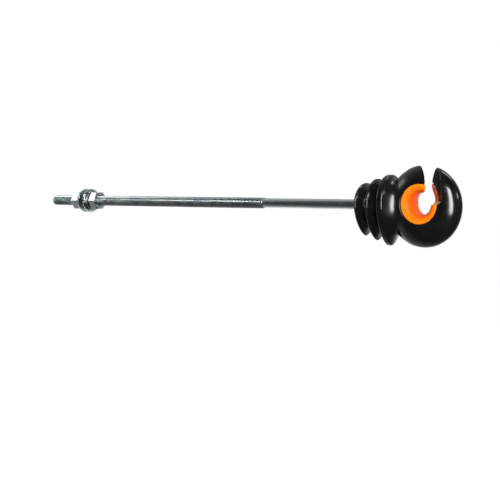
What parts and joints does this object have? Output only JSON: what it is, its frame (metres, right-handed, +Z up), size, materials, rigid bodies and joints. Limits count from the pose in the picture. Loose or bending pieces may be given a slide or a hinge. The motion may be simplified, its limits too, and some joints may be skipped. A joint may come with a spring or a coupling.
{
  "type": "fence insulator",
  "caption": "Slotted ring insulator with hanging sheds on a long threaded rod, clamped through a post wall by nuts and washers to hold a fence rope clear of the post.",
  "frame": {"origin": "on the rod's axis, at the post face that the front washer bears on", "axes": "+X along the rod from the post to the ring, +Z up towards the ring's slot, Y along the fence rope"},
  "size_m": [0.2791, 0.0244, 0.041],
  "materials": {
    "black_plastic": "glossy moulded",
    "orange_plastic": "satin moulded",
    "bright_zinc": "bright zinc plate",
    "spring_steel": "zinc-plated spring steel"
  },
  "bodies": {
    "head_and_rod": {"insulator_body": "black_plastic", "wear_insert": "orange_plastic", "shaft": "bright_zinc"},
    "front_washers": {"front_washer": "bright_zinc", "front_spring_washer": "spring_steel"},
    "front_nut": {"front_nut": "bright_zinc"},
    "rear_washers": {"rear_washer": "bright_zinc", "rear_spring_washer": "spring_steel"},
    "rear_nut": {"rear_nut": "bright_zinc"}
  },
  "joints": [
    {"name": "front_travel", "type": "slide", "parent": "head_and_rod", "child": "front_washers", "axis": [1, 0, 0], "range_m": [0, 0.12]},
    {"name": "front_nut_turn", "type": "hinge", "parent": "front_washers", "child": "front_nut", "pos_m": [0, 0, 0], "axis": [1, 0, 0], "range_deg": [0, 43200]},
    {"name": "rear_travel", "type": "slide", "parent": "head_and_rod", "child": "rear_washers", "axis": [-1, 0, 0], "range_m": [0, 0.018]},
    {"name": "rear_nut_turn", "type": "hinge", "parent": "rear_washers", "child": "rear_nut", "pos_m": [0, 0, 0], "axis": [-1, 0, 0], "range_deg": [0, 6480]}
  ],
  "couplings": [
    {"joint": "front_nut_turn", "follows": "front_travel", "rad_per_m": 6283.2},
    {"joint": "rear_nut_turn", "follows": "rear_travel", "rad_per_m": 6283.2}
  ]
}
